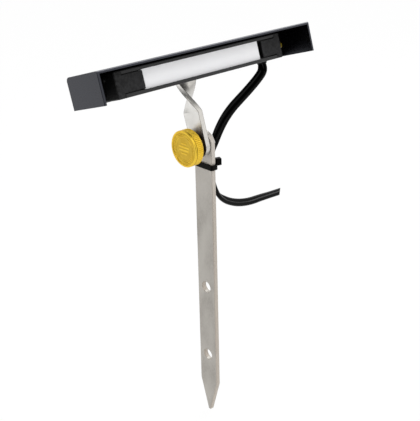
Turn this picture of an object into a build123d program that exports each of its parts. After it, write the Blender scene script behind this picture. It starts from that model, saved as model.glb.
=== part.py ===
from build123d import *
import os
from math import atan2, cos, degrees, pi, sin, tan

os.makedirs("parts", exist_ok=True)

# Frame: Z up, X along the light bar, the beam towards -Y
# The origin is on the stake's centre line at the ground line

# Ground stake, a flat bar with its broad face to the knob
stake_width = 19.0
stake_thick = 4.0
stake_length = 250.0
stake_point_length = 29.0
stake_tip_width = 2.0
stake_edge_break = 0.4
stake_hole_dia = 9.6
stake_hole_spacing = 63.5
stake_hole_over_tip = 55.0
pivot_over_ground = 66.0

# Arm, a flat bar with a quarter twist, measured up from the pivot
arm_width = 17.0
arm_foot_drop = 1.3
arm_thick = 4.0
arm_twist_start = 24.3
arm_below_hood_top = 3.2
arm_corner = 4.0
arm_twist_angle = -90.0
tilt_back = 17.0

# Pivot bolt and washers
bolt_dia = 6.0
bolt_clearance = 0.1
bolt_head_across = 10.0
bolt_head_thick = 3.6
bolt_head_turn = 30.0
bolt_thread_in_knob = 8.5
friction_washer_dia = 13.0
friction_washer_thick = 0.5
lock_washer_dia = 10.8
lock_washer_thick = 1.5
lock_washer_gap = 1.2
flat_washer_dia = 12.4
flat_washer_thick = 1.2

# Thumb knob, a knurled nut with a hub
knob_dia = 27.8
knob_hub_dia = 14.0
knob_hub_length = 3.8
knob_knurl_length = 6.2
knob_groove_width = 0.6
knob_groove_depth = 0.8
knob_disc_thick = 1.1
knob_disc_break = 0.4
knob_teeth = 68
knob_tooth_depth = 0.45
knob_edge_break = 0.8
knob_rim_width = 1.7
knob_face_recess = 0.5
knob_bore_spare = 1.2

# Hood, folded sheet that is open at the front and below
hood_length = 200.0
hood_depth = 36.4
hood_height = 22.2
hood_wall = 1.8
hood_bend_radius = 3.0
hood_edge_break = 0.25
hood_front_round = 1.3
hood_over_pivot = 47.0

# Light bar, an extruded body with a lamp channel in front and a driver chamber behind
bar_length = 145.4
bar_height = 18.7
bar_depth = 21.5
bar_over_hood_edge = 0.6
bar_corner = 0.8
bar_wall = 1.6
bar_back_wall = 2.4
bar_web = 2.0
bar_lip_thick = 1.2
bar_mouth_height = 13.6
bar_ledge = 1.2
lamp_channel_depth = 3.4
port_boss_dia = 5.0
port_boss_inset = 1.9

# Lens, seals and lamps
lens_length = 110.8
lens_shift = 0.1
lens_thick = 2.0
lens_height = 15.2
lens_clearance = 0.1
lens_seal_thick = 0.5
led_board_margin = 2.4
led_board_clearance = 1.0
led_board_thick = 1.2
led_count = 18
led_end_margin = 3.7
led_size = 2.8
led_thick = 0.8

# Driver board on the chamber's floor, and its parts
driver_board_length = 112.0
driver_board_thick = 1.6
driver_board_clearance = 0.2
coil_size = 7.0
coil_height = 5.2
coil_places = (-30.0, -18.0)
chip_size = 5.0
chip_height = 1.5
chip_places = (16.0, 28.0)
capacitor_dia = 6.3
capacitor_length = 11.0
capacitor_place = -46.0
terminal_length = 11.0
terminal_width = 5.0
terminal_over_leads = 1.6
terminal_place = 46.0
driver_lead_dia = 1.4
driver_lead_hole = 1.8
driver_lead_pitch = 5.0

# End caps
cap_flange = 6.0
cap_gasket_thick = 0.4
cap_edge_break = 0.75
cap_tongue_gap = 0.8
cap_tongue_clearance = 0.2
cap_left_lens_gap = 0.3
cap_right_lens_gap = 3.0
plug_dia = 3.6
plug_length = 13.0
plug_head_dia = 5.6
plug_head_thick = 2.4
plug_behind_front = 4.2
plug_seal_dia = 6.2
plug_seal_thick = 0.8
cap_screw_dia = 2.6
cap_screw_length = 14.0
cap_screw_head_dia = 4.4
cap_screw_head_thick = 1.7

# Arm screws
arm_screw_dia = 4.0
arm_screw_spacing = 8.4
arm_screw_head_dia = 6.8
arm_screw_head_thick = 2.6
arm_screw_spare = 1.5
arm_washer_dia = 7.6
arm_washer_thick = 0.8
screw_clearance = 0.05
screw_head_break = 0.7
screw_slot_width = 0.9
screw_slot_depth = 0.9

# Flat twin lead, its grommet and its tie
cord_width = 7.4
cord_thick = 3.6
cord_clearance = 0.2
cord_turn = -4.6
cord_waist = 2.0
cord_core_angles = (15.0, 45.0, 75.0, 120.0)
grommet_from_bar_end = 3.7
grommet_flange_wall = 0.8
grommet_flange_thick = 0.7
grommet_nose_length = 1.0
grommet_nose_wall = 0.35
grommet_neck_wall = 0.5
tie_height = 4.0
tie_thick = 1.2
tie_clearance = 0.15
tie_over_ground = 48.5
tie_head_length = 4.4
tie_head_thick = 4.0
tie_head_height = 5.6
tie_head_rise = 2.8
tie_head_break = 0.6
cord_split_over_tie = 3.0
cord_bend_share = 0.45

# Route of the lead from the grommet down to its cut end, on the centre line
cord_route = [
    (64.5, 3.44, 115.56),
    (64.5, 2.21, 111.54),
    (63.5, 1.3, 107.6),
    (59.3, 1.1, 104.0),
    (53.6, 0.9, 100.2),
    (46.1, 0.7, 95.7),
    (37.4, 0.5, 90.9),
    (28.7, 0.3, 86.0),
    (20.9, 0.0, 79.7),
    (14.7, 0.0, 72.1),
    (10.2, 0.0, 64.2),
    (6.2, 0.0, 58.0),
    (4.04, 0.0, 52.6),
    (4.0, 0.0, 44.6),
    (5.2, 0.0, 36.6),
    (8.0, 0.0, 28.0),
    (13.1, 0.0, 18.6),
    (22.4, 0.0, 11.6),
    (33.6, 0.0, 6.5),
    (46.7, 0.0, 3.5),
    (60.7, 0.0, 3.0),
    (73.3, 0.0, 2.0),
    (84.6, 0.0, 1.4),
]

# Places that follow from the sizes
stake_tip_z = pivot_over_ground + stake_width / 2 - stake_length
stake_back = stake_thick / 2
arm_front = -(stake_thick / 2 + friction_washer_thick + arm_thick)
arm_mid = arm_front + arm_thick / 2
knob_seat = arm_front - lock_washer_thick - flat_washer_thick
knob_thick = knob_knurl_length + knob_groove_width + knob_disc_thick
hood_back = arm_thick / 2
hood_top = hood_over_pivot + hood_height
arm_twist_end = hood_over_pivot
arm_top = hood_top - arm_below_hood_top
bar_back = hood_back + hood_wall
bar_front = bar_back + bar_depth
bar_bottom = hood_over_pivot + bar_over_hood_edge
bar_mid = bar_bottom + bar_height / 2
slot_back = bar_front - bar_lip_thick - lens_thick - lens_seal_thick
slot_height = lens_height + 2 * lens_clearance
web_front = slot_back - lamp_channel_depth
web_back = web_front - bar_web
chamber_back = bar_back + bar_back_wall
chamber_height = bar_height - 2 * bar_wall
lamp_channel_height = slot_height - 2 * bar_ledge
lens_left = lens_shift - lens_length / 2
lens_right = lens_shift + lens_length / 2
led_board_length = lens_length - 2 * led_board_margin
led_board_height = lamp_channel_height - 2 * led_board_clearance
led_pitch = (led_board_length - 2 * led_end_margin) / (led_count - 1)
cap_outer = bar_length / 2 + cap_gasket_thick + cap_flange
grommet_place = bar_length / 2 - grommet_from_bar_end
chamber_bottom = bar_bottom + bar_wall
chamber_mid = (chamber_back + web_back) / 2
port_reach = port_boss_inset + port_boss_dia / 2
driver_board_top = chamber_bottom + driver_board_thick
arm_screw_places = [side * arm_screw_spacing / 2 for side in (-1, 1)]

# The head turns with the arm about the pivot, here leaned back
head_place = Pos(arm_mid, 0, pivot_over_ground) * Rot(X=-tilt_back)
pivot_place = Pos(0, 0, pivot_over_ground) * Rot(Y=-90)


def save(shape, name):
    export_step(shape, f"parts/{name}.step")


def ring(outer_dia, inner_dia, thick):
    return extrude(Circle(outer_dia / 2) - Circle(inner_dia / 2), thick)


# A round-headed screw along +Z, its head's seat at the origin and its shank below
def pan_screw(dia, length, head_dia, head_thick):
    head = extrude(Circle(head_dia / 2), head_thick)
    head = chamfer(head.edges().group_by(Axis.Z)[-1], screw_head_break)
    groove = Pos(0, 0, head_thick) * Box(head_dia, screw_slot_width, 2 * screw_slot_depth)
    return head - groove + extrude(Circle(dia / 2), -length)


# A rectangle across the light bar between two distances in front of the pivot
def bar_slice(front, back, height):
    return Plane.YZ * Pos(-(front + back) / 2, bar_mid) * Rectangle(front - back, height)


def along_bar(section, start, end):
    return Pos(start, 0, 0) * extrude(section, end - start, dir=(1, 0, 0))


# Ground stake: round top about the pivot, a long point and two holes
def make_stake():
    half = stake_width / 2
    shoulder = stake_tip_z + stake_point_length
    tip = stake_tip_width / 2
    sides = Polyline(
        (half, pivot_over_ground),
        (half, shoulder),
        (tip, stake_tip_z),
        (-tip, stake_tip_z),
        (-half, shoulder),
        (-half, pivot_over_ground),
    )
    crown = ThreePointArc(
        (-half, pivot_over_ground),
        (0, pivot_over_ground + half),
        (half, pivot_over_ground),
    )
    bar = extrude(Plane.YZ * make_face(sides + crown), stake_thick / 2, both=True)
    broad = bar.faces().filter_by(Axis.X)
    bar = chamfer(broad.edges(), stake_edge_break)
    hole_z = [stake_tip_z + stake_hole_over_tip + step * stake_hole_spacing for step in (0, 1)]
    for z in hole_z:
        bar -= Pos(0, 0, z) * Rot(Y=90) * Cylinder(stake_hole_dia / 2, stake_thick * 2)
    bar -= Pos(0, 0, pivot_over_ground) * Rot(Y=90) * Cylinder(bolt_dia / 2 + bolt_clearance, stake_thick * 2)
    return bar


# Arm: a round foot on the pivot, a quarter twist, then a flat behind the hood
def make_arm():
    half = arm_width / 2
    low = -arm_foot_drop
    foot_sides = Polyline((half, low), (half, arm_twist_start), (-half, arm_twist_start), (-half, low))
    foot_end = ThreePointArc((-half, low), (0, low - half), (half, low))
    foot = extrude(Plane.YZ * make_face(foot_sides + foot_end), arm_thick / 2, both=True)
    section = Pos(0, 0, arm_twist_start) * Rectangle(arm_thick, arm_width)
    rise = (0, 0, arm_twist_end - arm_twist_start)
    centre = (0, 0, arm_twist_start)
    twist = Solid.extrude_linear_with_rotation(section.face(), centre, rise, arm_twist_angle)
    flat_mid = (arm_twist_end + arm_top) / 2
    flat = Pos(0, 0, flat_mid) * Box(arm_width, arm_thick, arm_top - arm_twist_end)
    flat = fillet(flat.edges().filter_by(Axis.Y).group_by(Axis.Z)[-1], arm_corner)
    arm = foot + twist + flat
    arm -= Rot(Y=90) * Cylinder(bolt_dia / 2 + bolt_clearance, arm_thick * 2)
    return arm - arm_screw_holes(arm_thick * 2)


def arm_screw_holes(length):
    bore = Rot(X=90) * Cylinder(arm_screw_dia / 2 + screw_clearance, length)
    return [Pos(x, 0, bar_mid) * bore for x in arm_screw_places]


# Pivot bolt: a hexagon head behind the stake, its shank out to the knob
def make_pivot_bolt():
    hexagon = Rot(Z=bolt_head_turn) * RegularPolygon(bolt_head_across / 2, 6, major_radius=False)
    head = extrude(hexagon, -bolt_head_thick)
    end = stake_back - knob_seat + bolt_thread_in_knob
    shank = extrude(Circle(bolt_dia / 2), end)
    return Pos(stake_back, 0, 0) * pivot_place * (head + shank)


def make_pivot_ring(outer_dia, thick, start):
    bore = bolt_dia + 2 * bolt_clearance
    return Pos(start, 0, 0) * pivot_place * ring(outer_dia, bore, thick)


# Spring washer: a ring with one cut
def make_lock_washer():
    washer = ring(lock_washer_dia, bolt_dia + 2 * bolt_clearance, lock_washer_thick)
    washer -= Pos(lock_washer_dia / 2, 0, 0) * Box(lock_washer_dia, lock_washer_gap, lock_washer_thick * 3)
    return Pos(arm_front, 0, 0) * pivot_place * washer


# Thumb knob: hub, toothed rim, a groove and a front disc with a raised edge
def make_knob():
    outer = knob_dia / 2
    points = []
    for step in range(2 * knob_teeth):
        angle = pi * step / knob_teeth
        reach = outer - knob_tooth_depth * (step % 2)
        points.append((reach * cos(angle), reach * sin(angle)))
    rim = extrude(make_face(Polyline(*points, close=True)), knob_knurl_length - knob_edge_break)
    root = outer - knob_tooth_depth
    bottom = (Align.CENTER, Align.CENTER, Align.MIN)
    knob = extrude(Circle(knob_hub_dia / 2), knob_hub_length)
    knob += Pos(0, 0, knob_hub_length) * Cone(root - knob_edge_break, root, knob_edge_break, align=bottom)
    knob += Pos(0, 0, knob_hub_length + knob_edge_break) * rim
    neck_start = knob_hub_length + knob_knurl_length
    knob += Pos(0, 0, neck_start) * extrude(Circle(outer - knob_groove_depth), knob_groove_width)
    disc = extrude(Circle(outer), knob_disc_thick)
    disc = chamfer(disc.edges().group_by(Axis.Z)[-1], knob_disc_break)
    knob += Pos(0, 0, neck_start + knob_groove_width) * disc
    face = knob_hub_length + knob_thick
    knob -= Pos(0, 0, face) * extrude(Circle(outer - knob_rim_width), -knob_face_recess)
    knob -= extrude(Circle(bolt_dia / 2 + bolt_clearance), bolt_thread_in_knob + knob_bore_spare)
    return Pos(knob_seat, 0, 0) * pivot_place * knob


# Hood: top, back and two ends of one thickness, with a bend along the top of the back and a round front edge
def make_hood():
    middle = -(hood_back + hood_depth / 2)
    shell = Pos(0, middle, hood_over_pivot + hood_height / 2) * Box(hood_length, hood_depth, hood_height)
    shell = fillet(shell.edges().filter_by(Axis.X).sort_by(Axis.Z)[-2:].sort_by(Axis.Y)[-1], hood_bend_radius)
    front = shell.faces().sort_by(Axis.Y)[0]
    shell = chamfer(front.edges().filter_by(Axis.Z), hood_edge_break)
    front = shell.faces().sort_by(Axis.Y)[0]
    shell = fillet(front.edges().filter_by(Axis.X).sort_by(Axis.Z)[-1], hood_front_round)
    room_depth = hood_depth * 2
    room_height = hood_height * 2
    room = Pos(0, -(hood_back + hood_wall + room_depth / 2), hood_top - hood_wall - room_height / 2)
    room = room * Box(hood_length - 2 * hood_wall, room_depth, room_height)
    top_edges = room.edges().filter_by(Axis.X).sort_by(Axis.Z)[-2:]
    room = fillet(top_edges.sort_by(Axis.Y)[-1], hood_bend_radius - hood_wall)
    return shell - room - arm_screw_holes(4 * hood_wall + arm_thick)


# Light bar body: lips, lens slot, lamp channel, driver chamber and two screw ports
def make_bar_body():
    section = bar_outline()
    lip_back = bar_front - bar_lip_thick
    section -= bar_slice(bar_front, lip_back, bar_mouth_height)
    section -= bar_slice(lip_back, slot_back, slot_height)
    section -= bar_slice(slot_back, web_front, lamp_channel_height)
    section -= bar_slice(web_back, chamber_back, chamber_height)
    for y, z in port_places():
        section += Plane.YZ * Pos(y, z) * Circle(port_boss_dia / 2)
    for y, z in port_places():
        section -= Plane.YZ * Pos(y, z) * Circle(cap_screw_dia / 2 + screw_clearance)
    body = along_bar(section, -bar_length / 2, bar_length / 2)
    body -= arm_screw_holes(2 * chamber_back)
    for x in driver_lead_places():
        body -= Pos(x, -(web_front + web_back) / 2, bar_mid) * Rot(X=90) * Cylinder(driver_lead_hole / 2, bar_web)
    neck = grommet_slot(grommet_neck_wall)
    return body - Pos(0, 0, -bar_wall / 2) * extrude(neck, bar_wall * 2)


def bar_outline():
    outline = bar_slice(bar_front, bar_back, bar_height)
    return fillet(outline.vertices(), bar_corner)


# Screw ports in the top corners of the driver chamber
def port_places():
    high = chamber_bottom + chamber_height - port_boss_inset
    return [(-(chamber_back + port_boss_inset), high), (-(web_back - port_boss_inset), high)]


def driver_lead_places():
    return [terminal_place + side * driver_lead_pitch / 2 for side in (-1, 1)]


# The lead's outline with a margin, at the underside of the light bar
def grommet_slot(margin):
    long_side = cord_width + 2 * (cord_clearance + margin)
    short_side = cord_thick + 2 * (cord_clearance + margin)
    return Pos(grommet_place, -chamber_mid, bar_bottom) * Rot(Z=90) * SlotOverall(long_side, short_side)


# Grommet: a lip inside, a neck through the wall, a flange outside and a tapered nose
def make_grommet():
    neck = extrude(grommet_slot(grommet_neck_wall - screw_clearance), bar_wall)
    inner = extrude(grommet_slot(grommet_flange_wall), grommet_flange_thick)
    flange = extrude(grommet_slot(grommet_flange_wall), -grommet_flange_thick)
    wide = Pos(0, 0, -grommet_flange_thick) * grommet_slot(grommet_neck_wall)
    narrow = Pos(0, 0, -grommet_flange_thick - grommet_nose_length) * grommet_slot(grommet_nose_wall)
    nose = loft([wide.face(), narrow.face()])
    solid = neck + Pos(0, 0, bar_wall) * inner + flange + nose
    depth = grommet_flange_thick + grommet_nose_length
    passage = Pos(0, 0, -2 * depth) * extrude(grommet_slot(0), 4 * depth + bar_wall)
    return solid - passage


# Lens and the two strips that it seats on
def make_lens():
    lip_back = bar_front - bar_lip_thick
    return along_bar(bar_slice(lip_back, lip_back - lens_thick, lens_height), lens_left, lens_right)


def make_lens_seals():
    front = slot_back + lens_seal_thick
    strip = bar_slice(front, slot_back, slot_height) - bar_slice(front, slot_back, lamp_channel_height)
    return along_bar(strip, lens_left, lens_right)


# Lamp board on the web, with a row of lamps
def make_led_board():
    section = bar_slice(web_front + led_board_thick, web_front, led_board_height)
    return along_bar(section, lens_shift - led_board_length / 2, lens_shift + led_board_length / 2)


def make_leds():
    middle = web_front + led_board_thick + led_thick / 2
    lamp = Box(led_size, led_thick, led_size)
    first = lens_shift - led_pitch * (led_count - 1) / 2
    return Compound([Pos(first + led_pitch * step, -middle, bar_mid) * lamp for step in range(led_count)])


# Driver board on the floor of its chamber, with its parts on top
def make_driver_board():
    width = web_back - chamber_back - 2 * driver_board_clearance
    middle = chamber_bottom + driver_board_thick / 2
    return Pos(0, -chamber_mid, middle) * Box(driver_board_length, width, driver_board_thick)


def on_driver_board(x, length, width, height):
    return Pos(x, -chamber_mid, driver_board_top + height / 2) * Box(length, width, height)


def make_driver_parts():
    parts = [on_driver_board(x, coil_size, coil_size, coil_height) for x in coil_places]
    parts += [on_driver_board(x, chip_size, chip_size, chip_height) for x in chip_places]
    terminal_height = bar_mid + terminal_over_leads - driver_board_top
    parts.append(on_driver_board(terminal_place, terminal_length, terminal_width, terminal_height))
    lying = Pos(capacitor_place, -chamber_mid, driver_board_top + capacitor_dia / 2) * Rot(Y=90)
    parts.append(lying * Cylinder(capacitor_dia / 2, capacitor_length))
    return Compound(parts)


def make_driver_leads():
    start = chamber_mid + terminal_width / 2
    wire = Rot(X=90) * extrude(Circle(driver_lead_dia / 2), web_front - start)
    return Compound([Pos(x, -start, bar_mid) * wire for x in driver_lead_places()])


# End caps: a flange over the bar's end and a tongue between the lips
def make_cap(side):
    gap = cap_left_lens_gap if side < 0 else cap_right_lens_gap
    inner = abs(lens_left if side < 0 else lens_right) + gap
    start = bar_length / 2 + cap_gasket_thick
    flange = along_bar(bar_outline(), start, cap_outer)
    flange = chamfer(flange.faces().sort_by(Axis.X)[-1].edges(), cap_edge_break)
    back = web_front + cap_tongue_clearance
    tongue = along_bar(bar_slice(bar_front, back, bar_mouth_height - 2 * cap_tongue_gap), inner, start)
    cap = flange + tongue
    for y, z in port_places():
        cap -= end_bore(y, z, cap_screw_dia, cap_screw_length)
    if side > 0:
        return cap - end_bore(*plug_place(), plug_dia, plug_length)
    return mirror(cap, Plane.YZ)


# A bore from the cap's outer face inwards, for a screw of the given size
def end_bore(y, z, screw_dia, screw_length):
    return Pos(cap_outer, y, z) * Rot(Y=90) * Cylinder(screw_dia / 2 + screw_clearance, 2 * screw_length)


def plug_place():
    return -(bar_front - plug_behind_front), bar_mid


def make_cap_gaskets():
    section = bar_outline() - bar_slice(bar_front, web_front, slot_height)
    window = chamber_height - port_reach
    window_mid = Pos(-chamber_mid, chamber_bottom + window / 2)
    section -= Plane.YZ * window_mid * Rectangle(web_back - chamber_back, window)
    for y, z in port_places():
        section -= Plane.YZ * Pos(y, z) * Circle(cap_screw_dia / 2 + screw_clearance)
    gasket = along_bar(section, bar_length / 2, bar_length / 2 + cap_gasket_thick)
    return Compound([gasket, mirror(gasket, Plane.YZ)])


# Plug with its seal, in the cap beside the lead
def make_plug_seal():
    seal = ring(plug_seal_dia, plug_dia + 2 * screw_clearance, plug_seal_thick)
    return Pos(cap_outer, *plug_place()) * Rot(Y=90) * seal


def make_plug_screw():
    screw = pan_screw(plug_dia, plug_length, plug_head_dia, plug_head_thick)
    return Pos(cap_outer + plug_seal_thick, *plug_place()) * Rot(Y=90) * screw


def make_cap_screws():
    screw = pan_screw(cap_screw_dia, cap_screw_length, cap_screw_head_dia, cap_screw_head_thick)
    screws = []
    for y, z in port_places():
        placed = Pos(cap_outer, y, z) * Rot(Y=90) * screw
        screws += [placed, mirror(placed, Plane.YZ)]
    return Compound(screws)


# Screws that clamp the arm, the hood and the light bar together
def make_arm_washers():
    washer = Rot(X=-90) * ring(arm_washer_dia, arm_screw_dia + 2 * screw_clearance, arm_washer_thick)
    return Compound([Pos(x, arm_thick / 2, bar_mid) * washer for x in arm_screw_places])


def make_arm_screws():
    grip = arm_washer_thick + arm_thick + hood_wall + bar_back_wall + arm_screw_spare
    screw = Rot(X=-90) * pan_screw(arm_screw_dia, grip, arm_screw_head_dia, arm_screw_head_thick)
    return Compound([Pos(x, arm_thick / 2 + arm_washer_thick, bar_mid) * screw for x in arm_screw_places])


# Cable tie: a tight band round the stake and the lead, with its lock on the slanting side
def make_cable_tie():
    cord_mid = stake_back + cord_thick / 2 + cord_clearance
    cord_side = Pos(cord_mid, 0) * Rot(Z=90) * SlotOverall(cord_width, cord_thick)
    core = make_hull((Rectangle(stake_thick, stake_width) + cord_side).edges())
    band = offset(core, tie_clearance + tie_thick) - offset(core, tie_clearance)
    band = Pos(0, 0, tie_over_ground - tie_height / 2) * extrude(band, tie_height)
    run = (cord_mid - stake_back, (stake_width - cord_width) / 2)
    slant = degrees(atan2(run[1], run[0]))
    middle = (stake_back + run[0] / 2, -(stake_width + cord_width) / 4)
    reach = tie_clearance + tie_thick + tie_head_thick / 2
    lift = tie_over_ground + tie_head_rise
    lock = Box(tie_head_length, tie_head_thick, tie_head_height)
    lock = chamfer(lock.edges().filter_by(Axis.Y), tie_head_break)
    return band + Pos(middle[0], middle[1], lift) * Rot(Z=slant) * Pos(0, -reach, 0) * lock


# Route radii: each bend is as large as the runs beside it allow
def cord_radii():
    radii = []
    for before, here, after in zip(cord_route, cord_route[1:], cord_route[2:]):
        run_in = Vector(here) - Vector(before)
        run_out = Vector(after) - Vector(here)
        turn = run_in.get_angle(run_out) * pi / 180
        radii.append(cord_bend_share * min(run_in.length, run_out.length) / tan(turn / 2))
    return radii


# The lead's outline: two cores side by side, with a groove between them
def cord_section():
    core = cord_thick / 2
    offset_mid = cord_width / 2 - core
    angles = [angle * pi / 180 for angle in cord_core_angles]
    quarter = [(offset_mid + core * cos(angle), core * sin(angle)) for angle in angles]
    upper = quarter + [(0, cord_waist / 2)] + [(-x, y) for x, y in reversed(quarter)]
    lower = [(-x, -y) for x, y in upper]
    return make_face(Polyline(*upper, *lower, close=True))


# The lead along its route, cut above the tie into two stretches
def make_cord():
    path = FilletPolyline(*cord_route, radius=cord_radii())
    start = Vector(cord_route[0])
    heading = Vector(cord_route[1]) - start
    section_plane = Plane(origin=start, x_dir=(0, 1, 0), z_dir=heading)
    section = section_plane * Rot(Z=cord_turn) * cord_section()
    lead = sweep(section, path)
    expected = section.area * path.length
    print(f"lead length {path.length:.1f} mm, volume {lead.volume:.0f} of {expected:.0f} mm3")
    print("lead bend radii", [round(radius, 1) for radius in cord_radii()])
    cut = Plane(origin=(0, 0, tie_over_ground + cord_split_over_tie))
    return split(lead, cut, keep=Keep.TOP), split(lead, cut, keep=Keep.BOTTOM)


fixed_pieces = {
    "stake": make_stake(),
    "pivot_bolt": make_pivot_bolt(),
    "friction_washer": make_pivot_ring(friction_washer_dia, friction_washer_thick, -stake_thick / 2),
    "lock_washer": make_lock_washer(),
    "flat_washer": make_pivot_ring(flat_washer_dia, flat_washer_thick, arm_front - lock_washer_thick),
    "thumb_knob": make_knob(),
    "cable_tie": make_cable_tie(),
}

head_pieces = {
    "arm": make_arm(),
    "hood": make_hood(),
    "bar_body": make_bar_body(),
    "lens": make_lens(),
    "lens_seals": make_lens_seals(),
    "led_board": make_led_board(),
    "leds": make_leds(),
    "driver_board": make_driver_board(),
    "driver_parts": make_driver_parts(),
    "driver_leads": make_driver_leads(),
    "left_end_cap": make_cap(-1),
    "right_end_cap": make_cap(1),
    "cap_gaskets": make_cap_gaskets(),
    "cap_screws": make_cap_screws(),
    "plug_seal": make_plug_seal(),
    "plug_screw": make_plug_screw(),
    "arm_washers": make_arm_washers(),
    "arm_screws": make_arm_screws(),
    "cord_grommet": make_grommet(),
}

for name, piece in fixed_pieces.items():
    save(piece, name)
for name, piece in head_pieces.items():
    save(head_place * piece, name)

cord_upper, cord_lower = make_cord()
save(cord_upper, "cord_upper")
save(cord_lower, "cord_lower")
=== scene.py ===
import math

import bpy
import numpy as np
from mathutils import Matrix, Vector


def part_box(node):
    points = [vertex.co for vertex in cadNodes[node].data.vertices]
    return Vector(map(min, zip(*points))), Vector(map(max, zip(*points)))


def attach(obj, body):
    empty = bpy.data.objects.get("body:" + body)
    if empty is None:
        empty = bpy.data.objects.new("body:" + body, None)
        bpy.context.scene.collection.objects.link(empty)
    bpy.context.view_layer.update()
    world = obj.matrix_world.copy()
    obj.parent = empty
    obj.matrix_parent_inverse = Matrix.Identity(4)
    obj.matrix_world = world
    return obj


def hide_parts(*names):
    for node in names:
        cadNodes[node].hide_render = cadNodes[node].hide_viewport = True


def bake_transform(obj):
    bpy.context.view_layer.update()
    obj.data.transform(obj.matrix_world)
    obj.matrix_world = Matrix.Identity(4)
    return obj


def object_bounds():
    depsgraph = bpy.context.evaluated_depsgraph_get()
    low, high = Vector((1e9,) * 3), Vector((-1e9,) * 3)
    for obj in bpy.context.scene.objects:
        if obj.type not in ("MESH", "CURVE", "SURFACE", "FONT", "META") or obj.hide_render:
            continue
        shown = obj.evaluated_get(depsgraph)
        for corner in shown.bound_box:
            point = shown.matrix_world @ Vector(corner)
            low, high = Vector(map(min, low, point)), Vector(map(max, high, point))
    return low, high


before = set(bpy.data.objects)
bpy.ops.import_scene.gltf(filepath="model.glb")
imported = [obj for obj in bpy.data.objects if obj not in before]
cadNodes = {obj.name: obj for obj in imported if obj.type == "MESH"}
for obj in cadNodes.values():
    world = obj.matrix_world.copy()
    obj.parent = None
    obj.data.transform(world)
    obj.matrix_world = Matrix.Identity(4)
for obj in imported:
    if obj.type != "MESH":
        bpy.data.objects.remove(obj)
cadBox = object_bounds()
millimetre = 0.001


# Helpers stand first, and the pieces follow
def vectorLength(values):
    return np.linalg.norm(values, axis=-1, keepdims=True)


# Carries a (rows, columns, 3) array into a mesh of quads: each row is a closed ring,
# and one face closes each of the two end rings
def gridObject(name, points, sharp, masks=None):
    rows, columns = points.shape[:2]
    index = np.arange(rows * columns).reshape(rows, columns)
    ring = np.concatenate([index, index[:, :1]], axis=1)
    quads = np.stack([ring[:-1, :-1], ring[:-1, 1:], ring[1:, 1:], ring[1:, :-1]], axis=-1).reshape(-1, 4)
    faces = quads.tolist() + [index[0, ::-1].tolist(), index[-1].tolist()]
    mesh = bpy.data.meshes.new(name)
    mesh.from_pydata(points.reshape(-1, 3).tolist(), [], faces)
    for label, values in (masks or {}).items():
        layer = mesh.attributes.new(label, "FLOAT", "POINT")
        layer.data.foreach_set("value", np.asarray(values, np.float32).ravel())
    mesh.validate()
    mesh.shade_smooth()
    mesh.set_sharp_from_angle(angle=math.radians(sharp))
    piece = bpy.data.objects.new(name, mesh)
    bpy.context.scene.collection.objects.link(piece)
    return piece


# A step from 0 to 1 between two values, with soft ends
def softStep(values, low, high):
    share = np.clip((values - low) / (high - low), 0, 1)
    return share * share * (3 - 2 * share)


# A socket takes a fixed value or another node's output
def feed(tree, value, socket):
    if isinstance(value, (int, float, tuple)):
        socket.default_value = value
    else:
        tree.links.new(value, socket)


def mathNode(tree, operation, *values):
    node = tree.nodes.new("ShaderNodeMath")
    node.operation = operation
    for value, socket in zip(values, node.inputs):
        feed(tree, value, socket)
    return node.outputs[0]


# For the vector operations that give one number
def vectorNode(tree, operation, *values):
    node = tree.nodes.new("ShaderNodeVectorMath")
    node.operation = operation
    for value, socket in zip(values, node.inputs):
        feed(tree, value, socket)
    return node.outputs["Value"]


# Carries a value from one range into another and holds it there
def mapRange(tree, value, before, after, curve="LINEAR"):
    spread = tree.nodes.new("ShaderNodeMapRange")
    spread.interpolation_type = curve
    for label, number in zip(("From Min", "From Max", "To Min", "To Max"), (*before, *after)):
        spread.inputs[label].default_value = number
    tree.links.new(value, spread.inputs["Value"])
    return spread.outputs[0]


# How far a direction or a place lies to one side, as a share between the least value and 1
def sideShare(tree, vector, side, fade, least):
    along = vectorNode(tree, "DOT_PRODUCT", vector, side)
    return mapRange(tree, along, fade, (least, 1.0), curve="SMOOTHSTEP")


# 1 within the first distance of a place and 0 past the second
def distanceShare(tree, centre, fade):
    place = tree.nodes.new("ShaderNodeTexCoord")
    away = vectorNode(tree, "DISTANCE", place.outputs["Object"], centre)
    return mapRange(tree, away, fade, (1.0, 0.0))


# Camera
cameraView = {
    "place": (-0.410859, -0.452662, 0.279954),
    "forward": (0.618118, 0.674614, -0.403518),
    "down": (-0.289918, -0.281496, -0.914717),
    "lens": 73.979,
    "sensor": 36.0,
}


def makeCamera(view):
    data = bpy.data.cameras.new("studioCamera")
    data.lens = view["lens"]
    data.sensor_width = view["sensor"]
    camera = bpy.data.objects.new("studioCamera", data)
    back = -Vector(view["forward"]).normalized()
    up = -Vector(view["down"]).normalized()
    right = up.cross(back).normalized()
    up = back.cross(right)
    turn = Matrix((right, up, back)).transposed().to_4x4()
    camera.matrix_world = Matrix.Translation(view["place"]) @ turn
    bpy.context.scene.collection.objects.link(camera)
    bpy.context.scene.camera = camera


makeCamera(cameraView)
print("camera set")


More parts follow.
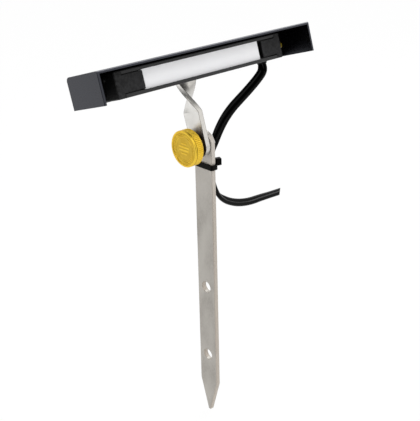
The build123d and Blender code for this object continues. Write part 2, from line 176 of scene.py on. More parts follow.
# Stage: a white floor under the stake's tip and soft lamps. Mirror rays see a white backdrop towards +X,
# which fades to a dim room towards -X.
stage = {
    "floorBelowTip": 0.0005,
    "floorHalf": 6.0,
    "floorColour": (0.9, 0.9, 0.9, 1.0),
    "floorWhiteShare": 0.95,
    "worldColour": (1.0, 1.0, 1.0, 1.0),
    "worldLight": 0.85,
    "backdropSide": (0.97, 0.22, 0.0),
    "backdropFade": (-0.6, 0.0),
    "floorSide": (0.67, 0.74, 0.0),
    "floorFade": (-0.9, -0.3),
    "roomShare": 0.06,
    "lamps": {
        "keyLamp": {"place": (-0.95, -0.75, 1.15), "target": (0, 0, 0.05), "size": 1.2, "power": 10.0},
        "sideLamp": {"place": (-1.2, 0.35, 0.35), "target": (0, 0, 0.0), "size": 1.4, "power": 2.5},
        "rightLamp": {"place": (0.9, -0.85, 0.45), "target": (0, 0, 0.08), "size": 0.9, "power": 0.7},
        "topLamp": {"place": (0.8, 0.25, 1.05), "target": (0, 0, 0.13), "size": 0.8, "power": 7.0},
    },
}


# The white's strength is 1 for camera and glass rays, and fades to the room's for mirror rays.
# Its share is 1 for those three kinds of ray, and all others keep the plain surface.
def studioWhite(tree, vector, side, fade, least):
    path = tree.nodes.new("ShaderNodeLightPath")
    seen = mathNode(tree, "MAXIMUM", path.outputs["Is Camera Ray"], path.outputs["Is Transmission Ray"])
    strength = mathNode(tree, "MAXIMUM", seen, sideShare(tree, vector, side, fade, least))
    return strength, mathNode(tree, "MAXIMUM", seen, path.outputs["Is Glossy Ray"])


def mixShaders(tree, share, plain, white, output):
    mix = tree.nodes.new("ShaderNodeMixShader")
    tree.links.new(share, mix.inputs[0])
    tree.links.new(plain.outputs[0], mix.inputs[1])
    tree.links.new(white.outputs[0], mix.inputs[2])
    tree.links.new(mix.outputs[0], output.inputs["Surface"])


def makeWorld(values):
    world = bpy.data.worlds.new("studioWorld")
    bpy.context.scene.world = world
    world.use_nodes = True
    tree = world.node_tree
    tree.nodes.clear()
    output = tree.nodes.new("ShaderNodeOutputWorld")
    place = tree.nodes.new("ShaderNodeTexCoord")
    plain = tree.nodes.new("ShaderNodeBackground")
    white = tree.nodes.new("ShaderNodeBackground")
    for node in (plain, white):
        node.inputs["Color"].default_value = values["worldColour"]
    plain.inputs["Strength"].default_value = values["worldLight"]
    strength, share = studioWhite(
        tree, place.outputs["Generated"], values["backdropSide"], values["backdropFade"], values["roomShare"]
    )
    tree.links.new(strength, white.inputs["Strength"])
    mixShaders(tree, share, plain, white, output)


def makeFloor(values):
    level = cadBox[0].z - values["floorBelowTip"]
    half = values["floorHalf"]
    corners = [(-half, -half, level), (half, -half, level), (half, half, level), (-half, half, level)]
    mesh = bpy.data.meshes.new("floor")
    mesh.from_pydata(corners, [], [(0, 1, 2, 3)])
    floor = bpy.data.objects.new("floor", mesh)
    bpy.context.scene.collection.objects.link(floor)
    material = bpy.data.materials.new("floorWhite")
    material.use_nodes = True
    tree = material.node_tree
    tree.nodes.clear()
    output = tree.nodes.new("ShaderNodeOutputMaterial")
    place = tree.nodes.new("ShaderNodeTexCoord")
    matte = tree.nodes.new("ShaderNodeBsdfDiffuse")
    matte.inputs["Color"].default_value = values["floorColour"]
    glow = tree.nodes.new("ShaderNodeEmission")
    strength, share = studioWhite(
        tree, place.outputs["Object"], values["floorSide"], values["floorFade"], values["roomShare"]
    )
    tree.links.new(strength, glow.inputs["Strength"])
    # The rest of the floor's look is matte, so that it keeps the object's shadow
    mixShaders(tree, mathNode(tree, "MULTIPLY", share, values["floorWhiteShare"]), matte, glow, output)
    mesh.materials.append(material)


def makeLamps(lamps):
    for name, lamp in lamps.items():
        data = bpy.data.lights.new(name, "AREA")
        data.size = lamp["size"]
        data.energy = lamp["power"]
        light = bpy.data.objects.new(name, data)
        light.location = lamp["place"]
        aim = Vector(lamp["target"]) - Vector(lamp["place"])
        light.rotation_euler = aim.to_track_quat("-Z", "Y").to_euler()
        bpy.context.scene.collection.objects.link(light)


makeWorld(stage)
makeFloor(stage)
makeLamps(stage["lamps"])
bpy.context.scene.view_settings.view_transform = "Standard"
print("stage set")


# Finishes share four node groups: a stretched noise field, small pits, sharp edges,
# and faces turned to one side
groupLook = {
    "edgeSamples": 6,
    "edgeTurn": (0.99, 0.84),  # how far the two normals agree on a plain face, and at a full edge
    "facingFade": (0.4, 0.7),  # how far a face's normal agrees with the side, from none to full
}


def newGroup(name, inputs, outputs):
    group = bpy.data.node_groups.new(name, "ShaderNodeTree")
    for label, kind, value in inputs:
        socket = group.interface.new_socket(name=label, in_out="INPUT", socket_type=kind)
        socket.default_value = value
    for label in outputs:
        group.interface.new_socket(name=label, in_out="OUTPUT", socket_type="NodeSocketFloat")
    return group, group.nodes.new("NodeGroupInput"), group.nodes.new("NodeGroupOutput")


def makeStreakGroup():
    inputs = [
        ("Stretch", "NodeSocketVector", (1, 1, 1)),
        ("Scale", "NodeSocketFloat", 100.0),
        ("Detail", "NodeSocketFloat", 4.0),
        ("Low", "NodeSocketFloat", 0.35),
        ("High", "NodeSocketFloat", 0.65),
    ]
    group, start, end = newGroup("streaks", inputs, ["Mask"])
    place = group.nodes.new("ShaderNodeTexCoord")
    mapping = group.nodes.new("ShaderNodeMapping")
    noise = group.nodes.new("ShaderNodeTexNoise")
    spread = group.nodes.new("ShaderNodeMapRange")
    group.links.new(place.outputs["Object"], mapping.inputs["Vector"])
    group.links.new(start.outputs["Stretch"], mapping.inputs["Scale"])
    group.links.new(mapping.outputs[0], noise.inputs["Vector"])
    group.links.new(start.outputs["Scale"], noise.inputs["Scale"])
    group.links.new(start.outputs["Detail"], noise.inputs["Detail"])
    group.links.new(noise.outputs[0], spread.inputs["Value"])
    group.links.new(start.outputs["Low"], spread.inputs["From Min"])
    group.links.new(start.outputs["High"], spread.inputs["From Max"])
    group.links.new(spread.outputs[0], end.inputs["Mask"])
    return group


def makePitGroup():
    inputs = [("Scale", "NodeSocketFloat", 1500.0), ("Size", "NodeSocketFloat", 0.6)]
    group, start, end = newGroup("pits", inputs, ["Height"])
    place = group.nodes.new("ShaderNodeTexCoord")
    cells = group.nodes.new("ShaderNodeTexVoronoi")
    dome = group.nodes.new("ShaderNodeMapRange")
    dome.interpolation_type = "SMOOTHSTEP"
    group.links.new(place.outputs["Object"], cells.inputs["Vector"])
    group.links.new(start.outputs["Scale"], cells.inputs["Scale"])
    group.links.new(cells.outputs["Distance"], dome.inputs["Value"])
    group.links.new(start.outputs["Size"], dome.inputs["From Max"])
    group.links.new(dome.outputs[0], end.inputs["Height"])
    return group


# Where the surface within the radius turns away from the point's own normal
def makeEdgeGroup(values):
    group, start, end = newGroup("edges", [("Radius", "NodeSocketFloat", 0.0004)], ["Mask"])
    rounded = group.nodes.new("ShaderNodeBevel")
    rounded.samples = values["edgeSamples"]
    surface = group.nodes.new("ShaderNodeNewGeometry")
    group.links.new(start.outputs["Radius"], rounded.inputs["Radius"])
    agree = vectorNode(group, "DOT_PRODUCT", rounded.outputs[0], surface.outputs["Normal"])
    group.links.new(mapRange(group, agree, values["edgeTurn"], (0.0, 1.0)), end.inputs["Mask"])
    return group


# Faces that look along the side given, or straight away from it
def makeFacingGroup(values):
    group, start, end = newGroup("facing", [("Side", "NodeSocketVector", (0, 1, 0))], ["Mask"])
    place = group.nodes.new("ShaderNodeTexCoord")
    along = vectorNode(group, "DOT_PRODUCT", place.outputs["Normal"], start.outputs["Side"])
    size = mathNode(group, "ABSOLUTE", along)
    group.links.new(mapRange(group, size, values["facingFade"], (0.0, 1.0)), end.inputs["Mask"])
    return group


streakGroup = makeStreakGroup()
pitGroup = makePitGroup()
edgeGroup = makeEdgeGroup(groupLook)
facingGroup = makeFacingGroup(groupLook)


def placeGroup(tree, group, values):
    node = tree.nodes.new("ShaderNodeGroup")
    node.node_tree = group
    for label, value in values.items():
        node.inputs[label].default_value = value
    return node.outputs[0]


def mixColours(tree, share, first, second):
    mix = tree.nodes.new("ShaderNodeMix")
    mix.data_type = "RGBA"
    tree.links.new(share, mix.inputs[0])
    # The Mix node's colour sockets are its inputs 6 and 7 and its output 2
    for socket, value in ((mix.inputs[6], first), (mix.inputs[7], second)):
        feed(tree, (*value, 1.0) if isinstance(value, tuple) else value, socket)
    return mix.outputs[2]


# A finish: two tones by broad patches, a roughness by fine streaks, and a small relief of streaks or pits.
# Its keys can add a tone in the streaks, painted shading on faces along a side and at sharp edges, painted
# shade from the piece's own mask, painted shading past a fade along one side of the object, and a painted
# shadow on faces along X near a place (spot).
def makeFinish(name, look):
    material = bpy.data.materials.new(name)
    material.use_nodes = True
    tree = material.node_tree
    shader = tree.nodes["Principled BSDF"]
    shader.inputs["Metallic"].default_value = look.get("metal", 0.0)
    shader.inputs["Specular IOR Level"].default_value = look.get("gloss", 0.5)
    shader.inputs["Specular Tint"].default_value = (*look.get("tint", (1.0, 1.0, 1.0)), 1.0)
    patches = placeGroup(tree, streakGroup, look["patches"])
    fine = placeGroup(tree, streakGroup, look["fine"])
    colour = mixColours(tree, patches, look["dark"], look["light"])
    if "fineTone" in look:
        share = mapRange(tree, fine, (0.0, 1.0), (0.0, look["fineShare"]))
        colour = mixColours(tree, share, colour, look["fineTone"])
    # Painted shading: a tone on the faces along a side
    if "paintedSideShading" in look:
        colour = mixColours(tree, placeGroup(tree, facingGroup, look["facing"]), colour, look["paintedSideShading"])
    # Painted shade: a tone at sharp edges
    if "paintedEdgeShade" in look:
        colour = mixColours(tree, placeGroup(tree, edgeGroup, look["edges"]), colour, look["paintedEdgeShade"])
    # Painted shade: the tone where the piece's own mask attribute is high
    if "groove" in look:
        mask = tree.nodes.new("ShaderNodeAttribute")
        mask.attribute_name = "groove"
        colour = mixColours(tree, mask.outputs["Fac"], colour, look["groove"])
    # Painted shading: a lighter or darker tone past a fade along one side of the object
    if "paintedShadingTone" in look:
        place = tree.nodes.new("ShaderNodeTexCoord")
        past = sideShare(tree, place.outputs["Object"], look["paintedShadingSide"], look["paintedShadingFade"], 0.0)
        share = mapRange(tree, past, (0.0, 1.0), (0.0, look["paintedShadingShare"]))
        colour = mixColours(tree, share, colour, look["paintedShadingTone"])
    # Painted shadow and painted reflection of the knob: a tone on faces along X near the place given
    if "spot" in look:
        spot = distanceShare(tree, look["spot"], look["spotFade"])
        flat = placeGroup(tree, facingGroup, {"Side": (1, 0, 0)})
        colour = mixColours(tree, mathNode(tree, "MINIMUM", spot, flat), colour, look["spotTone"])
    tree.links.new(colour, shader.inputs["Base Color"])
    tree.links.new(mapRange(tree, fine, (0.0, 1.0), look["rough"]), shader.inputs["Roughness"])
    height = placeGroup(tree, pitGroup, look["pits"]) if "pits" in look else fine
    bump = tree.nodes.new("ShaderNodeBump")
    bump.inputs["Strength"].default_value = look["relief"][0]
    bump.inputs["Distance"].default_value = look["relief"][1]
    tree.links.new(height, bump.inputs["Height"])
    tree.links.new(bump.outputs[0], shader.inputs["Normal"])
    return material


# The head's own directions, and how far a node reaches in a direction
headLean = math.radians(17.0)
leanCos, leanSin = math.cos(headLean), math.sin(headLean)
headFront, headBack = (0.0, -leanCos, leanSin), (0.0, leanCos, -leanSin)
headUp, headDown = (0.0, leanSin, leanCos), (0.0, -leanSin, -leanCos)


def farthest(nodeName, side):
    mesh = cadNodes[nodeName].data
    places = np.zeros(len(mesh.vertices) * 3)
    mesh.vertices.foreach_get("co", places)
    return float((places.reshape(-1, 3) @ np.array(side)).max())


capFront = farthest("left_end_cap", headFront)
lensFoot = farthest("lens", headDown)
lensMiddle = (lensFoot - farthest("lens", headUp)) / 2
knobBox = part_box("thumb_knob")
knobCentre = (knobBox[0] + knobBox[1]) / 2
pivotSeat = (-farthest("arm", (-1.0, 0.0, 0.0)), knobCentre.y, knobCentre.z)
finishes = {
    "stakeSteel": {
        "metal": 0.8, "dark": (0.335, 0.315, 0.286), "light": (0.46, 0.44, 0.404),
        "patches": {"Stretch": (1, 1, 0.5), "Scale": 70.0, "Detail": 8.0},
        "fine": {"Stretch": (1, 1, 0.7), "Scale": 560.0, "Detail": 5.0},
        "fineTone": (0.53, 0.505, 0.47), "fineShare": 0.5, "rough": (0.46, 0.6), "relief": (0.12, 0.00004),
        # Painted reflection: a warmer tone on the stake's faces along Y
        "facing": {"Side": (0, 1, 0)}, "paintedSideShading": (0.5, 0.45, 0.395),
        # Painted light: the stake gets lighter towards its top
        "paintedShadingTone": (0.66, 0.63, 0.59), "paintedShadingShare": 0.5, "paintedShadingSide": (0, 0, 1), "paintedShadingFade": (0.0, 0.06),
        # Painted shade: darker at the stake's sharp edges and hole rims
        "edges": {"Radius": 0.0006}, "paintedEdgeShade": (0.25, 0.225, 0.19),
    },
    "armSteel": {
        "metal": 0.92, "dark": (0.7, 0.685, 0.655), "light": (0.8, 0.785, 0.755),
        # Painted shade: a darker tone on the arm's faces along Y
        "facing": {"Side": (0, 1, 0)}, "paintedSideShading": (0.6, 0.58, 0.545),
        # Painted shade: a dark reflection line along the arm's sharp edges
        "edges": {"Radius": 0.0008}, "paintedEdgeShade": (0.09, 0.078, 0.064),
        # Painted shadow and painted brass reflection on the arm's face round the pivot, under the knob
        "spot": pivotSeat, "spotFade": (0.0105, 0.015), "spotTone": (0.07, 0.045, 0.015),
        "patches": {"Scale": 120.0, "Detail": 5.0},
        "fine": {"Stretch": (1, 1, 0.12), "Scale": 1300.0, "Detail": 3.0},
        "fineTone": (0.76, 0.75, 0.73), "fineShare": 0.3, "rough": (0.28, 0.4), "relief": (0.1, 0.00004),
    },
    "hardwareSteel": {
        "metal": 1.0, "dark": (0.36, 0.36, 0.36), "light": (0.46, 0.46, 0.46),
        "patches": {"Scale": 300.0}, "fine": {"Scale": 2500.0},
        "rough": (0.25, 0.38), "relief": (0.08, 0.00003),
    },
    "knobBrass": {
        "metal": 0.78, "gloss": 0.35, "dark": (0.88, 0.57, 0.04), "light": (0.97, 0.66, 0.06),
        "patches": {"Scale": 160.0, "Detail": 4.0}, "fine": {"Scale": 2600.0, "Detail": 2.0},
        # Painted shade: dark brown where the knob's painted shade mask is high
        "groove": (0.13, 0.07, 0.008), "rough": (0.3, 0.42), "relief": (0.06, 0.00003),
    },
    # Painted shade: the brass is darkened to olive, as the screw sits in shade
    "plugBrassPaintedShade": {
        "metal": 1.0, "dark": (0.1, 0.075, 0.006), "light": (0.17, 0.125, 0.012),
        "patches": {"Scale": 300.0}, "fine": {"Scale": 2500.0},
        "rough": (0.26, 0.38), "relief": (0.06, 0.00003),
    },
    "hoodCoat": {
        "gloss": 0.6, "tint": (0.8, 0.83, 1.0),
        "dark": (0.0006, 0.0006, 0.0008), "light": (0.0014, 0.0014, 0.0018),
        "patches": {"Scale": 40.0, "Detail": 5.0}, "fine": {"Scale": 1800.0},
        "pits": {"Scale": 1700.0, "Size": 0.7}, "rough": (0.24, 0.32), "relief": (0.05, 0.00004),
    },
    "barCoat": {
        "gloss": 0.42, "dark": (0.006, 0.006, 0.0065), "light": (0.0105, 0.0105, 0.0115),
        "patches": {"Stretch": (0.1, 1, 1), "Scale": 120.0},
        "fine": {"Stretch": (0.05, 1, 1), "Scale": 1500.0},
        "rough": (0.36, 0.48), "relief": (0.1, 0.00004),
    },
    "capGrain": {
        "gloss": 0.25, "dark": (0.005, 0.005, 0.0055), "light": (0.0185, 0.0185, 0.0195),
        # Painted shade: the caps turn near black behind their front faces
        "paintedShadingTone": (0.001, 0.001, 0.001), "paintedShadingShare": 1.0, "paintedShadingSide": headBack,
        "paintedShadingFade": (0.0002 - capFront, 0.0008 - capFront),
        "patches": {"Scale": 480.0, "Detail": 3.0}, "fine": {"Scale": 1600.0},
        "pits": {"Scale": 1500.0, "Size": 0.8}, "rough": (0.5, 0.66), "relief": (0.35, 0.00012),
    },
    "lensFrost": {
        "dark": (0.87, 0.87, 0.885), "light": (0.915, 0.915, 0.925),
        # Painted shade: the lens gets darker towards its lower edge
        "paintedShadingTone": (0.72, 0.72, 0.735), "paintedShadingShare": 1.0, "paintedShadingSide": headDown,
        "paintedShadingFade": (lensMiddle, lensFoot),
        "patches": {"Stretch": (0.3, 1, 1), "Scale": 25.0}, "fine": {"Scale": 2200.0},
        "rough": (0.34, 0.46), "relief": (0.05, 0.00003),
    },
    "leadRubber": {
        "gloss": 0.09, "dark": (0.0003, 0.0003, 0.0003), "light": (0.0009, 0.0009, 0.0009),
        "patches": {"Scale": 90.0}, "fine": {"Scale": 1800.0},
        "rough": (0.12, 0.2), "relief": (0.02, 0.00002),
    },
    "sealRubber": {
        "gloss": 0.2, "dark": (0.003, 0.003, 0.003), "light": (0.006, 0.006, 0.006),
        "patches": {"Scale": 120.0}, "fine": {"Scale": 1800.0},
        "rough": (0.6, 0.8), "relief": (0.1, 0.00005),
    },
    "tiePlastic": {
        "gloss": 0.06, "dark": (0.0003, 0.0003, 0.0003), "light": (0.0009, 0.0009, 0.0009),
        "patches": {"Scale": 200.0}, "fine": {"Scale": 2000.0},
        "rough": (0.22, 0.32), "relief": (0.04, 0.00003),
    },
    "washerPlastic": {
        "dark": (0.2, 0.2, 0.2), "light": (0.27, 0.27, 0.27),
        "patches": {"Scale": 200.0}, "fine": {"Scale": 2000.0},
        "rough": (0.5, 0.65), "relief": (0.08, 0.00003),
    },
    "screwBlack": {
        "gloss": 0.12, "dark": (0.002, 0.002, 0.002), "light": (0.004, 0.004, 0.004),
        "patches": {"Scale": 300.0}, "fine": {"Scale": 2500.0},
        "rough": (0.5, 0.65), "relief": (0.08, 0.00003),
    },
    "boardWhite": {
        "dark": (0.74, 0.74, 0.72), "light": (0.82, 0.82, 0.8),
        "patches": {"Scale": 60.0}, "fine": {"Scale": 1500.0},
        "rough": (0.35, 0.5), "relief": (0.05, 0.00003),
    },
    "boardGreen": {
        "dark": (0.02, 0.14, 0.06), "light": (0.03, 0.2, 0.08),
        "patches": {"Scale": 80.0}, "fine": {"Scale": 1500.0},
        "rough": (0.35, 0.5), "relief": (0.05, 0.00003),
    },
    "lampResin": {
        "dark": (0.8, 0.62, 0.16), "light": (0.88, 0.72, 0.24),
        "patches": {"Scale": 400.0}, "fine": {"Scale": 2500.0},
        "rough": (0.2, 0.3), "relief": (0.04, 0.00002),
    },
    "partsPlastic": {
        "dark": (0.03, 0.03, 0.035), "light": (0.06, 0.06, 0.065),
        "patches": {"Scale": 150.0}, "fine": {"Scale": 1800.0},
        "rough": (0.45, 0.6), "relief": (0.08, 0.00003),
    },
    "wirePlastic": {
        "dark": (0.45, 0.03, 0.025), "light": (0.58, 0.05, 0.04),
        "patches": {"Scale": 200.0}, "fine": {"Scale": 2000.0},
        "rough": (0.3, 0.42), "relief": (0.05, 0.00003),
    },
}
materials = {name: makeFinish(name, look) for name, look in finishes.items()}

nodeFinish = {
    "stake": "stakeSteel", "arm": "armSteel", "pivot_bolt": "hardwareSteel",
    "friction_washer": "washerPlastic", "lock_washer": "hardwareSteel", "flat_washer": "hardwareSteel",
    "thumb_knob": "knobBrass", "cable_tie": "tiePlastic",
    "hood": "hoodCoat", "bar_body": "barCoat", "lens": "lensFrost",
    "lens_seals": "sealRubber", "led_board": "boardWhite", "leds": "lampResin", "driver_board": "boardGreen",
    "driver_parts": "partsPlastic", "driver_leads": "wirePlastic", "left_end_cap": "capGrain",
    "right_end_cap": "capGrain", "cap_gaskets": "sealRubber", "cap_screws": "screwBlack",
    "plug_seal": "sealRubber", "plug_screw": "plugBrassPaintedShade", "arm_washers": "hardwareSteel",
    "arm_screws": "hardwareSteel", "cord_grommet": "sealRubber", "cord_upper": "leadRubber",
    "cord_lower": "leadRubber",
}
for nodeName, finishName in nodeFinish.items():
    cadNodes[nodeName].data.materials.clear()
    cadNodes[nodeName].data.materials.append(materials[finishName])
print("finishes placed on", len(nodeFinish), "nodes")


# Thumb knob: a turned profile with a band of small blocks, a groove and a front disc with a raised edge.
# Lengths are in millimetres.
knob = {
    "axis": (knobCentre.y, knobCentre.z),
    "seat": knobBox[1].x,
    "boreRadius": 3.1, "boreDepth": 9.7, "hubRadius": 7.0, "hubLength": 3.8, "hubBreak": 0.3,
    "radius": 13.9, "bandLength": 6.2, "bandBreak": 0.8,
    "grooveWidth": 0.6, "grooveDepth": 0.8, "grooveSlope": 0.2,
    "discThick": 1.1, "discBreak": 0.4, "rimWidth": 1.7, "recess": 0.5, "rimSlope": 0.25, "centre": 0.4,
    "columns": 540, "sharp": 35.0, "hair": 0.001,
    # Blocks: grooves along and across the band, their half widths as shares of a block
    "teeth": 60, "blockRows": 5, "blockDepth": 0.24, "crossDepth": 0.16, "cutHalf": 0.25, "crossHalf": 0.18,
    "bandFade": (0.2, 0.7),
    # Raised work on the face. A bar is its middle's height, half length and half height.
    "ticks": 56, "tickRadii": (9.7, 11.4), "tickFade": (-0.1, 0.5), "ringRadius": 9.0, "ringHalf": 0.3,
    "bars": [(3.9, 2.8, 0.6), (1.4, 5.6, 0.8), (-1.1, 5.2, 0.8), (-3.6, 3.2, 0.6)],
    "relief": 0.2, "workSlope": 0.15, "workGap": 0.05,
    # Shares of the painted shade tone
    "cutDark": 0.45, "neckDark": 0.6, "neckFade": 0.25, "neckEnd": 0.5, "discDark": 0.16, "faceDark": 0.26,
    "backReach": 0.05,
}


# 1 at a groove's middle and 0 over the block beside it, for a pattern that repeats once per unit
def grooveShare(values, half):
    nearest = np.abs(values - np.round(values))
    return 1 - softStep(nearest, 0.0, half)


# Turned stations (radius, distance from the seat, steps to get there), from the bore's floor round to
# the face's centre
def knobStations(values):
    bore, hub, outer = values["boreRadius"], values["hubRadius"], values["radius"]
    hubBreak, bandBreak, discBreak = values["hubBreak"], values["bandBreak"], values["discBreak"]
    bandStart = values["hubLength"]
    bandEnd = bandStart + values["bandLength"]
    discStart = bandEnd + values["grooveWidth"]
    face = discStart + values["discThick"]
    neck = outer - values["grooveDepth"]
    slope = values["grooveSlope"]
    rim = outer - values["rimWidth"]
    floor = face - values["recess"]
    return [
        (bore, values["boreDepth"], 1), (bore, 0.0, 4), (hub - hubBreak, 0.0, 6), (hub, hubBreak, 2),
        (hub, bandStart, 5), (outer - bandBreak, bandStart, 8), (outer, bandStart + bandBreak, 6),
        (outer, bandEnd, 40), (neck, bandEnd + slope, 4), (neck, discStart - slope, 3),
        (outer, discStart, 4), (outer, face - discBreak, 5), (outer - discBreak, face, 4),
        (rim + values["rimSlope"], face, 5), (rim, floor, 4), (values["centre"], floor, 58),
    ]


# Raised work on the face: a ring, short ticks round it and plain bars
def faceRelief(values, radius, angle):
    slope = values["workSlope"]
    inner, outer = values["tickRadii"]
    ticks = softStep(radius, inner - slope, inner + slope)
    ticks = ticks * (1 - softStep(radius, outer - slope, outer + slope))
    ticks = ticks * softStep(np.cos(angle * values["ticks"]), *values["tickFade"])
    ring = 1 - softStep(np.abs(radius - values["ringRadius"]), values["ringHalf"] / 2, values["ringHalf"])
    across = radius * np.cos(angle)
    up = radius * np.sin(angle)
    work = np.maximum(ticks, ring)
    for middle, halfLength, halfHeight in values["bars"]:
        bar = 1 - softStep(np.abs(across), halfLength - slope, halfLength + slope)
        bar = bar * (1 - softStep(np.abs(up - middle), halfHeight - slope, halfHeight + slope))
        work = np.maximum(work, bar)
    return work


# r = profile radius less the depth of the grooves between blocks,
# along = profile distance plus the face's relief
def makeKnob(values):
    stations = knobStations(values)
    marks = np.cumsum([steps for radius, along, steps in stations])
    rows = np.arange(marks[0], marks[-1] + 1)
    radius = np.interp(rows, marks, [station[0] for station in stations])[:, None]
    along = np.interp(rows, marks, [station[1] for station in stations])[:, None]
    angle = np.linspace(2 * math.pi, 0, values["columns"], endpoint=False)[None, :]
    outer, hair = values["radius"], values["hair"]
    bandStart = values["hubLength"]
    bandEnd = bandStart + values["bandLength"]
    face = bandEnd + values["grooveWidth"] + values["discThick"] - values["recess"]
    fadeStart, fadeEnd = values["bandFade"]
    onBand = softStep(along, bandStart + fadeStart, bandStart + fadeEnd) * (along <= bandEnd + hair)
    onBand = onBand * (radius > outer - values["bandBreak"] - hair)
    cut = grooveShare(angle * values["teeth"] / (2 * math.pi), values["cutHalf"]) * values["blockDepth"]
    blockRow = (along - bandStart) * values["blockRows"] / values["bandLength"]
    cross = grooveShare(blockRow, values["crossHalf"]) * values["crossDepth"]
    depth = np.maximum(cut, cross) * onBand
    onFace = (np.abs(along - face) < hair) * (radius < outer - values["rimWidth"] - values["workGap"])
    work = faceRelief(values, radius, angle) * onFace
    # Painted shade in the block grooves and the neck, on the disc, between the raised work and behind the
    # band
    inNeck = softStep(outer - radius, 0.0, values["neckFade"]) * (along > bandEnd)
    inNeck = values["neckDark"] * inNeck * (along < face - values["neckEnd"])
    dark = np.maximum(values["cutDark"] * depth / values["blockDepth"], inNeck)
    onDisc = values["discDark"] * (along > bandEnd) + values["faceDark"] * onFace * (1 - work)
    dark = np.maximum(dark, onDisc)
    dark = np.maximum(dark, along < bandStart + values["backReach"])
    reach = (radius - depth) * millimetre
    out = (along + values["relief"] * work) * millimetre
    points = np.stack(
        [
            values["seat"] - out,
            values["axis"][0] + reach * np.cos(angle),
            values["axis"][1] + reach * np.sin(angle),
        ],
        axis=-1,
    )
    piece = gridObject("brass_knob", points, values["sharp"], masks={"groove": dark})
    piece.data.materials.append(materials["knobBrass"])
    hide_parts("thumb_knob")
    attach(piece, "knob")


makeKnob(knob)
print("knob made")


# Flat twin lead from the grommet, through the tie, to its cut end. Lengths are in millimetres, and turns are
# (distance along the lead, degrees). The blend's ends and the cord's length are in metres.
lead = {
    "route": [
        (64.5, 3.44, 115.56), (64.5, 2.21, 111.54), (63.5, 1.3, 107.6), (59.3, 1.1, 104.0),
        (53.6, 0.9, 100.2), (46.1, 0.7, 95.7), (37.4, 0.5, 90.9), (28.7, 0.3, 86.0),
        (20.9, 0.0, 79.7), (14.7, 0.0, 72.1), (10.2, 0.0, 64.2), (6.2, 0.0, 58.0),
        (4.04, 0.0, 52.6), (4.0, 0.0, 44.6), (5.2, 0.0, 36.6), (8.0, 0.0, 28.0),
        (13.1, 0.0, 18.6), (22.4, 0.0, 11.6), (33.6, 0.0, 6.5), (46.7, 0.0, 3.5),
        (60.7, 0.0, 3.0), (73.3, 0.0, 2.0), (84.6, 0.0, 1.4),
    ],
    "turns": [
        (0, 0), (3, -6), (9, -46), (44, -46), (58, -36), (70, -22), (84, 0), (106, 0), (122, 16), (136, 36),
        (150, 31), (168, 16), (188, 4), (202, 2),
    ],
    "steps": 14, "sharp": 50.0,
    "width": 7.4, "thick": 3.6, "waist": 1.2,
    "coreReach": 2.6, "corePoints": 53, "ribs": 9, "ribDepth": 0.07,
    "cutSlope": 1.2, "cutBack": 0.9, "cutRun": 14.0,
    "copperRadius": 0.9, "copperCore": 0.9, "copperTone": (0.62, 0.29, 0.14),
    "blendStart": (0.0645, 0.00344, 0.11556), "blendEnd": (0.0042, 0.0, 0.054),
    "length": 0.2,
}


# Points of the route's own spline, read from a curve with no bevel
def splinePoints(route, steps):
    data = bpy.data.curves.new("leadLine", "CURVE")
    data.dimensions = "3D"
    spline = data.splines.new("NURBS")
    spline.points.add(len(route) - 1)
    for point, place in zip(spline.points, route):
        point.co = (*[value * millimetre for value in place], 1.0)
    spline.order_u = 3
    spline.use_endpoint_u = True
    spline.resolution_u = steps
    holder = bpy.data.objects.new("leadLine", data)
    bpy.context.scene.collection.objects.link(holder)
    mesh = bpy.data.meshes.new_from_object(holder)
    points = np.zeros(len(mesh.vertices) * 3)
    mesh.vertices.foreach_get("co", points)
    bpy.data.objects.remove(holder)
    bpy.data.meshes.remove(mesh)
    bpy.data.curves.remove(data)
    return points.reshape(-1, 3)


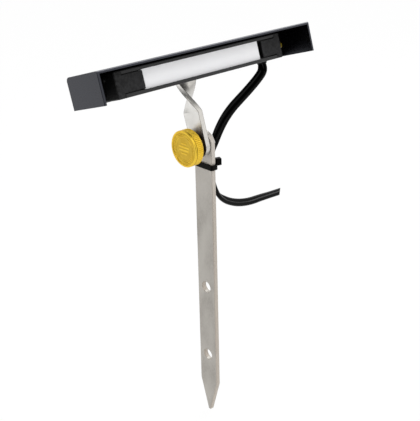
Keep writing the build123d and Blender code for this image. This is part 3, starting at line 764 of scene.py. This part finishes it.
# Section of two round cores: each core is a circle open towards the other, the two are joined at the waist
# between them, and one core has fine ribs along it
def twinSection(values):
    core = values["thick"] / 2
    middle = values["width"] / 2 - core
    angle = np.linspace(-values["coreReach"], values["coreReach"], values["corePoints"])
    ribs = values["ribDepth"] * (0.5 - 0.5 * np.cos(angle * values["ribs"] * 2))
    right = np.stack([middle + core * np.cos(angle), core * np.sin(angle)], axis=-1)
    left = np.stack([-middle - (core - ribs) * np.cos(angle), -(core - ribs) * np.sin(angle)], axis=-1)
    waist = values["waist"] / 2
    outline = np.concatenate([right, [(0.0, waist)], left, [(0.0, -waist)]])
    return outline * millimetre


# Copper shows where the rubber is within the copper's radius of a core's cut end
def showCopper(material, ends, values):
    tree = material.node_tree
    socket = tree.nodes["Principled BSDF"].inputs["Base Color"]
    colour = socket.links[0].from_socket
    reach = values["copperRadius"] * millimetre
    for end in ends:
        spot = distanceShare(tree, tuple(end), (reach * values["copperCore"], reach))
        colour = mixColours(tree, spot, colour, values["copperTone"])
    tree.links.new(colour, socket)


# The section is carried along the line: its width lies along Y and turns about the line by the angles given
def makeLead(values):
    line = splinePoints(values["route"], values["steps"])
    tangent = np.gradient(line, axis=0)
    tangent /= vectorLength(tangent)
    width = np.array([0.0, 1.0, 0.0]) - tangent[:, 1:2] * tangent
    width /= vectorLength(width)
    normal = np.cross(tangent, width)
    steps = vectorLength(np.diff(line, axis=0))[:, 0] / millimetre
    distance = np.concatenate([[0.0], np.cumsum(steps)])
    places, degrees = zip(*values["turns"])
    turn = np.radians(np.interp(distance, places, degrees))[:, None]
    across = width * np.cos(turn) + normal * np.sin(turn)
    out = np.cross(tangent, across)
    section = twinSection(values)
    points = line[:, None] + across[:, None] * section[None, :, :1] + out[:, None] * section[None, :, 1:]
    # The end is cut on a slant: towards the end each line of the skin is drawn out or back along the lead
    nearEnd = softStep(distance, distance[-1] - values["cutRun"], distance[-1])[:, None, None]
    slant = values["cutSlope"] * section[None, :, :1] - values["cutBack"] * millimetre
    points = points + nearEnd * slant * tangent[:, None]
    piece = gridObject("twin_lead", points, values["sharp"])
    piece.data.materials.append(materials["leadRubber"])
    coreMiddle = (values["width"] - values["thick"]) / 2 * millimetre
    ends = []
    for side in (coreMiddle, -coreMiddle):
        drawn = values["cutSlope"] * side - values["cutBack"] * millimetre
        ends.append(line[-1] + across[-1] * side + tangent[-1] * drawn)
    showCopper(materials["leadRubber"], ends, values)
    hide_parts("cord_upper", "cord_lower")
    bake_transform(piece)


makeLead(lead)
print("lead laid")
